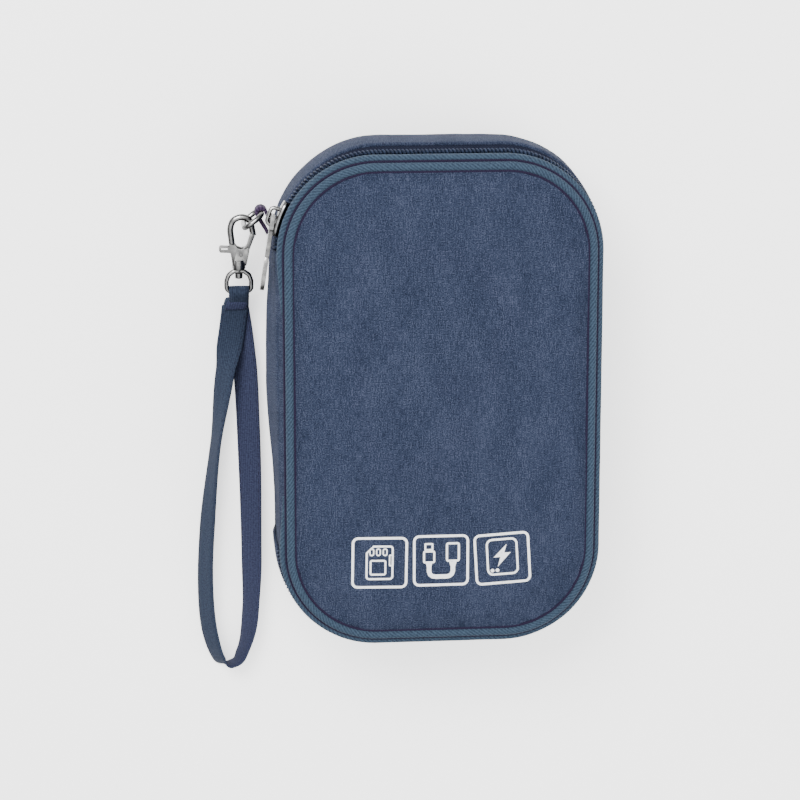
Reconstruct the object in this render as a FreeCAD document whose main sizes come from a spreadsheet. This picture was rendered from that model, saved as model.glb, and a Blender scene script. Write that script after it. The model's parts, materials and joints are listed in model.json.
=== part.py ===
import FreeCAD, Part
import Sketcher

import math
import os

from FreeCAD import Placement, Rotation, Vector

# Cable organizer pouch, lying on its back. +Z leaves the front panel, +Y points to the pouch's top end,
# +X to its right side. The origin is on the back panel's outer face, at its centre. Millimetres.

SIZES = {
    # outline of the case at the back piping; the lid's edge lies lid_inset inside it
    "half_width": 60.0,
    "half_length": 92.5,
    "corner_radius": 36.0,
    # heights of the layers above the rest face
    "back_panel_top": 4.6,
    "gusset_base": 4.0,
    "gusset_belly": 16.0,
    "gusset_top": 34.6,
    "zip_plane": 38.0,
    "spine_top": 44.2,
    "welt_base": 40.6,
    "welt_top": 46.2,
    "panel_base": 44.6,
    "panel_top": 50.0,
    # sheet and wall thicknesses
    "wall": 1.5,
    "lining": 0.8,
    "belly": 2.0,
    "tape": 0.7,
    "gap": 0.1,
    # trims
    "piping_radius": 1.75,
    "piping_height": 47.6,
    "lid_inset": 1.65,
    "back_piping_height": 2.1,
    "panel_inset": 3.6,
    "coil_radius": 0.7,
    "coil_rise": 1.2,
    "coil_stand": 0.7,
    "tape_inner": 0.9,
    # zip slider
    "slider_angle": 20.0,
    "slider_half_span": 10.0,
    "parking_span": 34.0,
    "slider_half_height": 3.2,
    "plate": 0.9,
    "crown_wire": 0.75,
    "puller_length": 28.0,
    "puller_width": 3.4,
    "puller_thickness": 1.5,
    "puller_lean": 11.0,
    # icons
    "icon_side": 21.0,
    "icon_pitch": 23.0,
    "icon_row": -59.6,
    "icon_film": 0.25,
    "icon_line": 1.0,
    # inside
    "band_width": 24.0,
    "band_rise": 8.0,
    "band_sheet": 1.0,
    "band_loops": 5.0,
    "pocket_sheet": 1.0,
    "pocket_half_width": 40.0,
    "pocket_length": 62.0,
    "pocket_depth": 17.0,
    "pocket_start": -84.0,
    # hardware on the left side
    "tab_width": 9.0,
    "tab_reach": 6.1,
    "tab_slope": -65.0,
    "ring_height": 18.0,
    "ring_drop": 17.0,
    "ring_depth": 8.2,
    "ring_wire": 1.0,
    "ring_angle": 38.0,
    "clasp_wire": 1.2,
    "clasp_slope": 12.0,
    "gate_reach": 9.05,
    "eye_wire": 0.9,
    "strap_width": 10.0,
    "strap_sheet": 1.5,
    "play": 0.3,
}

# Points on the wrist strap's centreline, from the sewn head round the loop and back to it.
STRAP_ROUTE = [
    (-76.2, 27.6, 6.2),
    (-75.9, 8.0, 2.6),
    (-81.0, -14.0, 2.4),
    (-84.4, -36.5, 2.4),
    (-86.5, -58.0, 2.4),
    (-87.5, -77.0, 2.4),
    (-86.8, -94.0, 2.4),
    (-84.5, -105.0, 2.4),
    (-81.4, -111.8, 2.4),
    (-76.2, -112.4, 2.4),
    (-72.9, -106.2, 2.4),
    (-70.9, -96.0, 2.4),
    (-69.9, -78.5, 2.4),
    (-70.3, -59.5, 2.4),
    (-69.9, -38.5, 2.4),
    (-70.4, -16.0, 2.4),
    (-69.9, 7.0, 2.6),
    (-71.6, 27.6, 6.2),
]

doc = FreeCAD.newDocument("cable_organizer_pouch")
sheet = doc.addObject("Spreadsheet::Sheet", "Sizes")
for row, (alias, value) in enumerate(SIZES.items(), start=1):
    sheet.set(f"A{row}", alias)
    sheet.set(f"B{row}", str(value))
    sheet.setAlias(f"B{row}", alias)
doc.recompute()

PARTS = []


def size(alias):
    """The value of one cell of the sheet."""
    return float(sheet.get(alias))


def part(obj, name):
    """Labels a finished sub-part and puts it on the list of files to write."""
    obj.Label = name
    PARTS.append(obj)
    return obj


def on_sheet(text):
    """Turns the words of a formula that are aliases into references to the sheet."""
    words = []
    for word in text.split():
        words.append(f"Sizes.{word}" if word in SIZES else word)
    return " ".join(words)


def origin_plane(body, role):
    return next(item for item in body.Origin.OriginFeatures if item.Role == role)


def add_sketch(body, name, role, offset=None):
    """A sketch on one of the body's own planes, moved along its normal by a formula."""
    sketch = body.newObject("Sketcher::SketchObject", name)
    sketch.AttachmentSupport = [(origin_plane(body, role), "")]
    sketch.MapMode = "FlatFace"
    if offset:
        sketch.setExpression("AttachmentOffset.Base.z", on_sheet(offset))
    return sketch


def bound(sketch, kind, refs, formula):
    """Adds one dimension to a sketch and ties it to the sheet."""
    value = float(sketch.evalExpression(on_sheet(formula)))
    index = sketch.addConstraint(Sketcher.Constraint(kind, *refs, value))
    sketch.setExpression(f"Constraints[{index}]", on_sheet(formula))


def outline(sketch, grow, is_open=False):
    """The case's rounded outline, grown outward by a formula; open along the spine if is_open."""
    ex = float(sketch.evalExpression(on_sheet("half_width - corner_radius")))
    ey = float(sketch.evalExpression(on_sheet("half_length - corner_radius")))
    rad = float(sketch.evalExpression(on_sheet(f"corner_radius + ( {grow} )")))
    corners = [(-ex, ey, 90, 180), (ex, ey, 0, 90), (ex, -ey, -90, 0), (-ex, -ey, 180, 270)]
    arcs = []
    for cx, cy, low, high in corners:
        circle = Part.Circle(Vector(cx, cy, 0), Vector(0, 0, 1), rad)
        arc = Part.ArcOfCircle(circle, math.radians(low), math.radians(high))
        arcs.append(sketch.addGeometry(arc, False))
    joins = [(0, 1), (1, 2), (2, 3)] if is_open else [(0, 1), (1, 2), (2, 3), (3, 0)]
    for first, second in joins:
        start = sketch.Geometry[arcs[first]].StartPoint
        end = sketch.Geometry[arcs[second]].EndPoint
        line = sketch.addGeometry(Part.LineSegment(start, end), False)
        sketch.addConstraint(Sketcher.Constraint("Tangent", arcs[first], 1, line, 1))
        sketch.addConstraint(Sketcher.Constraint("Tangent", line, 2, arcs[second], 2))
    for arc, (cx, cy, low, high) in zip(arcs, corners):
        side = "" if cx > 0 else "-1 * "
        end = "" if cy > 0 else "-1 * "
        bound(sketch, "DistanceX", (-1, 1, arc, 3), f"{side}( half_width - corner_radius )")
        bound(sketch, "DistanceY", (-1, 1, arc, 3), f"{end}( half_length - corner_radius )")
        bound(sketch, "Radius", (arc,), f"corner_radius + ( {grow} )")
    if is_open:
        bound(sketch, "DistanceY", (-1, 1, arcs[0], 2), "half_length - corner_radius")
        bound(sketch, "DistanceY", (-1, 1, arcs[3], 1), "-1 * ( half_length - corner_radius )")


def polygon(sketch, points):
    """A closed polygon whose corners are pairs of formulas."""
    places = []
    for across, up in points:
        x = float(sketch.evalExpression(on_sheet(across)))
        y = float(sketch.evalExpression(on_sheet(up)))
        places.append(Vector(x, y, 0))
    count = len(places)
    for i in range(count):
        sketch.addGeometry(Part.LineSegment(places[i], places[(i + 1) % count]), False)
    for i in range(count):
        sketch.addConstraint(Sketcher.Constraint("Coincident", i, 2, (i + 1) % count, 1))
    for i, (across, up) in enumerate(points):
        bound(sketch, "DistanceX", (-1, 1, i, 1), across)
        bound(sketch, "DistanceY", (-1, 1, i, 1), up)


def round_section(sketch, across, up, radius):
    """A circle placed and sized by formulas."""
    x = float(sketch.evalExpression(on_sheet(across)))
    y = float(sketch.evalExpression(on_sheet(up)))
    r = float(sketch.evalExpression(on_sheet(radius)))
    circle = sketch.addGeometry(Part.Circle(Vector(x, y, 0), Vector(0, 0, 1), r), False)
    bound(sketch, "DistanceX", (-1, 1, circle, 3), across)
    bound(sketch, "DistanceY", (-1, 1, circle, 3), up)
    bound(sketch, "Radius", (circle,), radius)


def swept(name, draw_section, is_open):
    """A body whose section runs round the case's outline; the open sort leaves the spine free."""
    body = doc.addObject("PartDesign::Body", name)
    path = add_sketch(body, name + "_path", "XY_Plane", "zip_plane")
    outline(path, "0", is_open)
    start = "-1 * ( half_length - corner_radius )" if is_open else None
    section = add_sketch(body, name + "_section", "XZ_Plane", start)
    draw_section(section)
    doc.recompute()
    pipe = body.newObject("PartDesign::AdditivePipe", name + "_sweep")
    pipe.Profile = section
    pipe.Spine = (path, [])
    pipe.Mode = "Frenet"
    section.Visibility = False
    return part(body, name)


def band_section(inner, outer, low, high):
    """Draws a plain upright strip between two offsets from the outline and two heights."""
    corners = [(inner, low), (outer, low), (outer, high), (inner, high)]

    def draw(sketch):
        polygon(sketch, [(f"-1 * ( half_width + {grow} )", level) for grow, level in corners])

    return draw


def tube_section(grow, level, radius):
    """Draws a round cord section at an offset from the outline and a height."""

    def draw(sketch):
        round_section(sketch, f"-1 * ( half_width + {grow} )", level, radius)

    return draw


def plate(name, grow, low, high):
    """A flat panel inside the case's outline, from one height to another."""
    body = doc.addObject("PartDesign::Body", name)
    sketch = add_sketch(body, name + "_outline", "XY_Plane", low)
    outline(sketch, grow)
    pad = body.newObject("PartDesign::Pad", name + "_pad")
    pad.Profile = sketch
    pad.setExpression("Length", on_sheet(f"( {high} ) - ( {low} )"))
    return part(body, name)


def prism(name, points, start, length, role="XZ_Plane"):
    """A body extruded from a polygon of formulas."""
    body = doc.addObject("PartDesign::Body", name)
    sketch = add_sketch(body, name + "_profile", role, start)
    polygon(sketch, points)
    pad = body.newObject("PartDesign::Pad", name + "_pad")
    pad.Profile = sketch
    pad.setExpression("Length", on_sheet(length))
    return part(body, name)


def tangent_route(points, closed=False, radius=None):
    """A wire of straight runs joined by tangent arcs, with the radius of each arc."""
    vectors = [Vector(*p) for p in points]
    count = len(vectors)
    corners = range(count) if closed else range(1, count - 1)
    cuts = {}
    radii = []
    for i in corners:
        before = vectors[i - 1] - vectors[i]
        after = vectors[(i + 1) % count] - vectors[i]
        half_turn = (math.pi - before.getAngle(after)) / 2
        bend = radius or 0.45 * min(before.Length, after.Length) / math.tan(half_turn)
        radii.append(bend)
        reach = bend * math.tan(half_turn)
        start = vectors[i] + before * (reach / before.Length)
        end = vectors[i] + after * (reach / after.Length)
        inward = before * (1 / before.Length) + after * (1 / after.Length)
        rise = bend / math.cos(half_turn) - bend
        middle = vectors[i] + inward * (rise / inward.Length)
        cuts[i] = (start, middle, end)
    edges = []
    last = cuts[count - 1][2] if closed else vectors[0]
    for i in corners:
        start, middle, end = cuts[i]
        edges.append(Part.LineSegment(last, start).toShape())
        edges.append(Part.Arc(start, middle, end).toShape())
        last = end
    if not closed:
        edges.append(Part.LineSegment(last, vectors[-1]).toShape())
    return Part.Wire(edges), radii


def tube(points, section_radius, closed=False, radius=None):
    """A round bar bent along a route."""
    wire, radii = tangent_route(points, closed, radius)
    first = wire.Edges[0]
    start = first.valueAt(first.FirstParameter)
    along = first.tangentAt(first.FirstParameter)
    ring = Part.Wire([Part.Circle(start, along, section_radius).toShape()])
    solid = wire.makePipeShell([ring], True, False)
    return solid, wire.Length, radii


def feature(name, shape, placement=Placement()):
    """A piece bent or carved freely, made from Part's own functions."""
    obj = doc.addObject("Part::Feature", name)
    obj.Shape = shape
    obj.Placement = placement
    return part(obj, name)


def box(low, high):
    corner = Vector(*low)
    span = Vector(*high) - corner
    return Part.makeBox(span.x, span.y, span.z, corner)


# ------------------------------------------------------------------------------------------- case back

def make_case_back():
    """The root body's shells: back panel, gusset, spine, lower half of the zip, lining and piping."""
    plate("back_panel", "-1 * panel_inset", "0", "back_panel_top")
    cord = tube_section("( -1 * piping_radius )", "back_piping_height", "piping_radius")
    swept("back_piping", cord, False)
    curve = [("-1 * wall", "gusset_base"), ("0.4", "gusset_base"), ("belly", "gusset_belly"),
             ("1.4", "gusset_top"), ("1.4 - wall", "gusset_top"), ("belly - wall", "gusset_belly")]

    def draw_gusset(sketch):
        polygon(sketch, [(f"-1 * ( half_width + {grow} )", level) for grow, level in curve])

    swept("back_gusset", draw_gusset, True)
    side = "-1 * half_width"
    prism("spine", [(f"{side} + wall", "gusset_base"), (f"{side} - 0.4", "gusset_base"),
                    (f"{side} - belly", "gusset_belly"), (f"{side} - belly", "gusset_top"),
                    (f"{side} - 0.4", "spine_top"), (f"{side} + wall - 0.4", "spine_top"),
                    (f"{side} + wall - belly", "gusset_top"), (f"{side} + wall - belly", "gusset_belly")],
          "-1 * ( half_length - corner_radius - gap )", "2 * ( half_length - corner_radius - gap )")
    swept("back_zip_tape", band_section("( -1 * tape_inner )", "( tape - tape_inner )",
                                        "gusset_top - 6", "zip_plane - 0.8"), True)
    swept("back_zip_coil", tube_section("coil_stand", "zip_plane - coil_rise", "coil_radius"), True)
    plate("back_lining", "-1 * panel_inset - wall", "back_panel_top + gap",
          "back_panel_top + gap + lining")


# ------------------------------------------------------------------------------------------------- lid

def corner_middle(height):
    """The centre of the case's top left corner arc."""
    radius = size("corner_radius")
    return Vector(radius - size("half_width"), size("half_length") - radius, height)


def parked_notch():
    """The space that the parked slider needs in the lid's edge."""
    radius_out = size("corner_radius") + 6
    low = size("zip_plane") - 4
    high = size("zip_plane") + size("slider_half_height") + 1.2
    span = size("parking_span")
    ring = Part.makeCylinder(radius_out, high - low, Vector(0, 0, low), Vector(0, 0, 1), span)
    middle = corner_middle(0)
    obj = doc.addObject("Part::Feature", "parked_notch")
    obj.Shape = ring
    obj.Placement = Placement(middle, Rotation(Vector(0, 0, 1), 180 - span))
    return obj


def notched(body, notch):
    """Cuts the slider's parking space out of one of the lid's edge pieces."""
    name = body.Label
    PARTS.remove(body)
    body.Label = name + "_whole"
    cut = doc.addObject("Part::Cut", name + "_cut")
    cut.Base = body
    cut.Tool = notch
    return part(cut, name)


def make_lid():
    """The lid's panel, piping, welt, upper half of the zip and lining."""
    notch = parked_notch()
    plate("front_panel", "-1 * panel_inset - lid_inset", "panel_base", "panel_top")
    plate("front_lining", "-1 * panel_inset - wall", "panel_base - gap - lining", "panel_base - gap")
    cord = tube_section("( -1 * lid_inset - piping_radius )", "piping_height", "piping_radius")
    swept("front_piping", cord, False)
    welt = swept("lid_gusset", band_section("( -1 * gap )", "( 6 * gap )", "welt_base", "welt_top"), True)
    tape = swept("front_zip_tape", band_section("( -1 * tape_inner )", "( tape - tape_inner )",
                                                "zip_plane + 0.8", "zip_plane + 5"), True)
    coil = swept("front_zip_coil", tube_section("coil_stand", "zip_plane + coil_rise", "coil_radius"), True)
    for body in (welt, tape, coil):
        notched(body, notch)


# -------------------------------------------------------------------------------------- slider, puller

def curved_plate(inner, outer, low, high, half_span):
    """A plate bent round the corner arc, between two radii, centred on the slider's angle."""
    start = 180 - size("slider_angle") - half_span
    base = corner_middle(low)
    solid = Part.makeCylinder(outer, high - low, base, Vector(0, 0, 1), 2 * half_span)
    hole = Part.makeCylinder(inner, high - low, base, Vector(0, 0, 1), 2 * half_span)
    sector = solid.cut(hole)
    sector.rotate(base, Vector(0, 0, 1), start)
    return sector


def slider_frame(reach):
    """A placement on the slider's outer side: -X leaves the case, +Y points the way the zip closes."""
    turn = Rotation(Vector(0, 0, 1), -size("slider_angle"))
    middle = corner_middle(size("zip_plane"))
    return Placement(middle + turn.multVec(Vector(-reach, 0, 0)), turn)


def make_slider():
    """Slider body with its two plates and post, the crown loop and the puller."""
    radius = size("corner_radius")
    sheet_metal = size("plate")
    zip_plane = size("zip_plane")
    low = zip_plane - size("slider_half_height")
    high = size("welt_base") - size("play")
    span = size("slider_half_span")
    outer = radius + size("coil_stand") + size("coil_radius") + size("play")
    inner = radius - size("tape_inner") - size("play")
    front = curved_plate(outer, outer + sheet_metal, low, high, span)
    back = curved_plate(inner - sheet_metal, inner, low, high, span)
    post_half = 0.35
    post = curved_plate(inner - 0.3, outer + 0.3, zip_plane - post_half, zip_plane + post_half, 2.5)
    feature("slider_body", front.fuse([back, post]).removeSplitter())

    surface = outer + sheet_metal
    wire = size("crown_wire")
    leg = 3.2
    rise = 3.2
    loop, _, _ = tube([(0.3, -leg, 0), (-rise, -leg, 0), (-rise, leg, 0), (0.3, leg, 0)], wire, radius=1.6)
    trim = Part.makeCylinder(surface, 4, Vector(surface, 0, -2), Vector(0, 0, 1))
    feature("slider_crown", loop.cut(trim), slider_frame(surface))

    pin = Part.makeCylinder(0.6, 4.8, Vector(0, 0, -2.4))
    half = size("puller_thickness") / 2
    rail = 4.8
    rails = [box((-half, -rail, side - 0.35), (half, 0.7, side + 0.35)) for side in (-2.05, 2.05)]
    end = size("puller_length")
    wide = size("puller_width") / 2
    neck = wide - 0.5
    rim = [(-rail + 0.4, wide + 0.7), (-rail - 1.2, wide), (-end + 13.5, neck), (-end + 12.5, neck - 0.4),
           (-end + 11.5, neck), (-end + 4, wide + 0.3), (-end + 1, wide - 0.5)]
    face = [Vector(-half, y, z) for y, z in rim] + [Vector(-half, -end, 0)]
    face += [Vector(-half, y, -z) for y, z in reversed(rim)]
    shank = Part.Face(Part.makePolygon(face + face[:1])).extrude(Vector(2 * half, 0, 0))
    pivot = slider_frame(surface + rise / 2)
    lean = Rotation(Vector(0, 0, 1), size("puller_lean"))
    bar = pin.fuse(rails + [shank]).removeSplitter()
    feature("puller", bar, Placement(pivot.Base, pivot.Rotation * lean))


# ----------------------------------------------------------------------------------------------- icons

def flat_ring(width, length, line, corner):
    """A rounded rectangular line of the icon film, centred on the origin."""

    def filled(w, l, r):
        block = Part.makeBox(w, l, size("icon_film"), Vector(-w / 2, -l / 2, 0))
        upright = [e for e in block.Edges if abs(e.tangentAt(e.FirstParameter).z) > 0.9]
        return block.makeFillet(r, upright)

    window = filled(width - 2 * line, length - 2 * line, corner - line * 0.8)
    return filled(width, length, corner).cut(window)


def make_icons():
    """Three printed films on the front panel: a memory card, a cable and a power bank."""
    film = size("icon_film")
    line = size("icon_line")
    side = size("icon_side")
    card = flat_ring(10.4, 13.2, 0.7, 1.2)
    slots = [box((x, 3.0, 0), (x + 0.9, 5.0, film)) for x in (-3.2, -0.6, 2.0)]
    label = flat_ring(6.2, 6.0, 0.6, 0.8)
    label.translate(Vector(0, -2.4, 0))
    cord, _ = tangent_route([(-5.2, 1, 0), (-5.2, -6.2, 0), (5.2, -6.2, 0), (5.2, 1, 0)], radius=3.2)
    section = Part.Face(Part.makePolygon([Vector(-5.9, 1, 0), Vector(-4.5, 1, 0), Vector(-4.5, 1, film),
                                          Vector(-5.9, 1, film), Vector(-5.9, 1, 0)]))
    lead = cord.makePipeShell([section.OuterWire], True, False)
    plugs = [box((-7.4, 1, 0), (-3.0, 6, film)), box((2.6, 1, 0), (7.8, 8, film))]
    bank = flat_ring(12, 14, 0.8, 2.4)
    zigzag = [(1.5, 5.0), (-3.0, -0.4), (-0.4, -0.4), (-1.6, -4.6), (3.0, 1.0), (0.4, 1.0)]
    corners = [Vector(x, y, 0) for x, y in zigzag]
    bolt = Part.Face(Part.makePolygon(corners + corners[:1])).extrude(Vector(0, 0, film))
    symbols = {"icon_card": [card, label] + slots, "icon_cable": [lead] + plugs, "icon_power": [bank, bolt]}
    for place, (name, pieces) in zip((-1, 0, 1), symbols.items()):
        shape = Part.makeCompound([flat_ring(side, side, line, 2.4)] + pieces)
        spot = Vector(place * size("icon_pitch"), size("icon_row"), size("panel_top"))
        feature(name, shape, Placement(spot, Rotation()))


# ---------------------------------------------------------------------------------------------- inside

def elastic_band(name, start):
    """An elastic strip sewn down between its loops, each of which takes one rolled cable."""
    floor = "back_panel_top + 2 * gap + lining"
    loops = int(size("band_loops"))
    pitch = 18.0
    shoulder = 2.0
    flat = 2.5
    left = -loops * pitch / 2
    lower = []
    upper = []
    for i in range(loops):
        x = left + i * pitch
        lower += [(x + flat, "0"), (x + flat + shoulder, "band_rise"),
                  (x + pitch - flat - shoulder, "band_rise"), (x + pitch - flat, "0")]
        upper += [(x + flat - 0.8, "0"), (x + flat + shoulder - 0.8, "band_rise"),
                  (x + pitch - flat - shoulder + 0.8, "band_rise"), (x + pitch - flat + 0.8, "0")]
    lower = [(left - flat, "0")] + lower + [(-left + flat, "0")]
    upper = [(left - flat, "0")] + upper + [(-left + flat, "0")]
    points = [(str(x), f"{floor} + {rise}") for x, rise in lower]
    points += [(str(x), f"{floor} + {rise} + band_sheet") for x, rise in reversed(upper)]
    prism(name, points, f"-1 * ( {start} + band_width )", "band_width")


def make_inside():
    """Elastic cable bands and the power bank pocket in the back; mesh and card pockets in the lid."""
    elastic_band("elastic_band_upper", "42")
    elastic_band("elastic_band_lower", "8")
    floor = size("back_panel_top") + size("lining") + 2 * size("gap")
    outer = doc.addObject("Part::Box", "pocket_outer")
    inner = doc.addObject("Part::Box", "pocket_inner")
    sunk = 2
    for item, inset in ((outer, 0), (inner, size("pocket_sheet"))):
        base = Vector(inset - size("pocket_half_width"), inset + size("pocket_start"), floor)
        item.Placement.Base = base - Vector(0, 0, sunk if inset else 0)
        item.setExpression("Length", on_sheet(f"2 * pocket_half_width - 2 * {inset}"))
        item.setExpression("Width", on_sheet(f"pocket_length + {inset}"))
    outer.setExpression("Height", on_sheet("pocket_depth + pocket_sheet"))
    inner.setExpression("Height", on_sheet(f"pocket_depth + {sunk}"))
    pocket = doc.addObject("Part::Cut", "bank_pocket")
    pocket.Base = outer
    pocket.Tool = inner
    part(pocket, "bank_pocket")

    under = "panel_base - 2 * gap - lining"
    for name, half, drop, start, length in (("mesh_pocket", 50, 3.0, "-78", "86"),
                                            ("card_pocket", 44, 2.0, "26", "46")):
        sheet_cloth = 0.6
        lower = [(-half, 0), (-half + 4, -drop), (half - 4, -drop), (half, 0)]
        upper = [(-half + 1.4, 0), (-half + 4.7, -drop + sheet_cloth),
                 (half - 4.7, -drop + sheet_cloth), (half - 1.4, 0)]
        points = [(str(x), f"{under} + {z}") for x, z in lower + upper[::-1]]
        prism(name, points, f"-1 * ( {start} + {length} )", length)
    prism("mesh_binding", [("-46", f"{under} - 4.1"), ("46", f"{under} - 4.1"), ("46", f"{under} - 3.1"),
                           ("-46", f"{under} - 3.1")], "-1 * 8", "4")


# ---------------------------------------------------------------------------------- hardware and strap

RING_PIVOT = Vector(-65.2, 68.8, size("ring_drop"))


def make_ring():
    """The fabric tab on the case's side and the D-ring that hangs in it."""
    wide = size("tab_width")
    hole = size("ring_wire") + size("play")
    low = RING_PIVOT - Vector(0, 0, wide / 2)
    roll = Part.makeCylinder(hole + 1.0, wide, low)
    tongue = Part.makeBox(size("tab_reach"), 2.2, wide, Vector(0, -1.1, 0))
    tongue.Placement = Placement(low, Rotation(Vector(0, 0, 1), size("tab_slope")))
    bore = Part.makeCylinder(hole, wide, low)
    feature("strap_tab", roll.fuse(tongue).removeSplitter().cut(bore))
    half = size("ring_height") / 2
    depth = size("ring_depth")
    ring, _, _ = tube([(0, 0, -half), (0, 0, half), (-depth, 0, half), (-depth, 0, -half)],
                      size("ring_wire"), closed=True)
    feature("d_ring", ring, Placement(RING_PIVOT, Rotation(Vector(0, 0, 1), size("ring_angle"))))


def ring_bow():
    """The middle of the D-ring's bow, where the clasp hangs."""
    turn = Rotation(Vector(0, 0, 1), size("ring_angle"))
    return RING_PIVOT + turn.multVec(Vector(-size("ring_depth"), 0, 0))


def clasp_frame():
    """The clasp's own frame: +Y along it to the hook, X across, its origin at the barrel's end."""
    hang = 16.3
    slope = Rotation(Vector(1, 0, 0), size("clasp_slope"))
    return Placement(ring_bow() - slope.multVec(Vector(2.0, hang, 0)), slope)


EYE_BAR = -10.5


def make_clasp():
    """Lobster clasp: cast hook and barrel, sprung gate with its pin, and the swivelling eye."""
    frame = clasp_frame()
    wire = size("clasp_wire")
    play = size("play")
    hook, _, _ = tube([(-2.4, 8.0, 0), (-3.3, 15.0, 0), (-2.2, 18.6, 0), (1.2, 19.9, 0),
                       (4.4, 18.6, 0), (5.5, 12.0, 0)], wire)
    half_thick = 2.0
    wedge = [(-2.3, 0.8), (-3.6, 8.2), (-3.7, 9.6), (-1.6, 9.0), (-0.6, 7.5), (1.0, 6.9), (2.6, 7.3),
             (3.5, 8.0), (4.0, 6.6), (2.8, 0.8)]
    face = [Vector(x, y, -half_thick) for x, y in wedge]
    cheeks = Part.Face(Part.makePolygon(face + face[:1])).extrude(Vector(0, 0, 2 * half_thick))
    barrel = Part.makeCylinder(2.6, 3.6, Vector(0, -0.8, 0), Vector(0, 1, 0))
    slot = box((-8, 3.2, -1.1), (6, 8.6, 1.1))
    bore = Part.makeCylinder(1.3, 3.0, Vector(0, -2, 0), Vector(0, 1, 0))
    chamber = Part.makeCylinder(2.0, 2.0, Vector(0, 0.4, 0), Vector(0, 1, 0))
    pivot = Vector(0.8, 5.0, 0)
    pin_hole = Part.makeCylinder(0.62, 6, pivot - Vector(0, 0, 3))
    # the hook's end is hollowed to the circle that the gate's tip swings on
    reach = size("gate_reach")
    swing = Part.makeCylinder(reach + play, 6, pivot - Vector(0, 0, 3)).common(box((3, 10, -3), (8, 16, 3)))
    body = hook.fuse([cheeks, barrel]).removeSplitter()
    body = body.cut(slot).cut(bore).cut(chamber).cut(pin_hole).cut(swing)
    feature("clasp_body", body, frame)
    feature("gate_pin", Part.makeCylinder(0.6, 3.9, pivot - Vector(0, 0, 1.95)), frame)

    thick = 0.8
    rim = [(-7.0, 8.2), (-7.5, 7.6), (-7.5, 6.4), (-7.0, 5.7), (-3.6, 5.5), (-0.5, 4.0), (1.6, 3.8),
           (2.6, 4.8), (4.0, 6.6), (6.7, 14.0), (4.5, 14.0), (3.0, 8.6), (1.4, 6.6),
           (-0.8, 6.5), (-3.4, 8.0)]
    face = [Vector(x, y, -thick) for x, y in rim]
    lever = Part.Face(Part.makePolygon(face + face[:1])).extrude(Vector(0, 0, 2 * thick))
    eyelet = Part.makeCylinder(0.68, 4, pivot - Vector(0, 0, 2))
    thumb_hole = box((-6.6, 6.4, -2), (-4.2, 7.4, 2))
    tip = Part.makeCylinder(reach, 4, pivot - Vector(0, 0, 2))
    feature("clasp_gate", lever.common(tip).cut(eyelet).cut(thumb_hole), frame)

    eye = size("eye_wire")
    half = 4.7
    arch = [(-half, -6.2, 0), (-3.9, -3.7, 0), (-1.9, -2.2, 0), (1.9, -2.2, 0), (3.9, -3.7, 0),
            (half, -6.2, 0), (half, EYE_BAR, 0), (-half, EYE_BAR, 0)]
    ring, _, _ = tube(arch, eye, closed=True, radius=1.9)
    shaft = Part.makeCylinder(1.0, 3.4, Vector(0, -2.4, 0), Vector(0, 1, 0))
    head = Part.makeCylinder(1.7, 1.0, Vector(0, 0.9, 0), Vector(0, 1, 0))
    rivet = Part.makeCylinder(1.5, 2.0, Vector(0, -4.8, 0), Vector(0, 1, 0))
    feature("swivel_eye", ring.fuse([shaft, head, rivet]).removeSplitter(), frame)


def make_strap():
    """The wrist strap: its sewn head round the eye's bar and its loop as one plain tube."""
    frame = clasp_frame()
    bar = frame.multVec(Vector(0, EYE_BAR, 0))
    hole = size("eye_wire") + size("play")
    narrow = 7.2
    wide = size("strap_width")
    cloth = size("strap_sheet")
    roll = Part.makeCylinder(hole + cloth, narrow, Vector(-narrow / 2, 0, 0), Vector(1, 0, 0))
    bore = Part.makeCylinder(hole, narrow, Vector(-narrow / 2, 0, 0), Vector(1, 0, 0))
    neck = box((-narrow / 2, -4.6, -cloth), (narrow / 2, 0, cloth))
    stitched = box((-wide / 2, -11.0, -cloth - 0.5), (wide / 2, -3.4, cloth + 0.5))
    slope = Rotation(Vector(1, 0, 0), 28)
    head = roll.fuse([neck, stitched]).removeSplitter().cut(bore)
    feature("strap_fold", head, Placement(bar, slope))

    section = math.sqrt(wide * cloth / math.pi)
    loop, length, radii = tube(STRAP_ROUTE, section)
    feature("strap_loop", loop)
    print("strap loop: length", round(length, 1), "radii", [round(r, 1) for r in radii])
    ratio = loop.Volume / (math.pi * section ** 2 * length)
    print("strap loop: volume / (section x length)", round(ratio, 4))


make_case_back()
make_lid()
make_slider()
make_icons()
make_inside()
make_ring()
make_clasp()
make_strap()
doc.recompute()

for obj in doc.Objects:
    if "Invalid" in obj.State or "Error" in obj.State:
        raise RuntimeError(f"{obj.Name} did not recompute: {obj.State}")
for obj in PARTS:
    if obj.Shape.isNull() or not obj.Shape.isValid() or obj.Shape.Volume <= 0:
        raise RuntimeError(f"{obj.Label} has no valid shape")

os.makedirs("parts", exist_ok=True)
for obj in PARTS:
    obj.Shape.exportStep(os.path.join("parts", obj.Label + ".step"))
print(len(PARTS), "sub-parts written")
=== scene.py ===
import json
import math

import bmesh
import bpy
from mathutils import Matrix, Vector, noise
from mathutils.bvhtree import BVHTree


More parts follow.
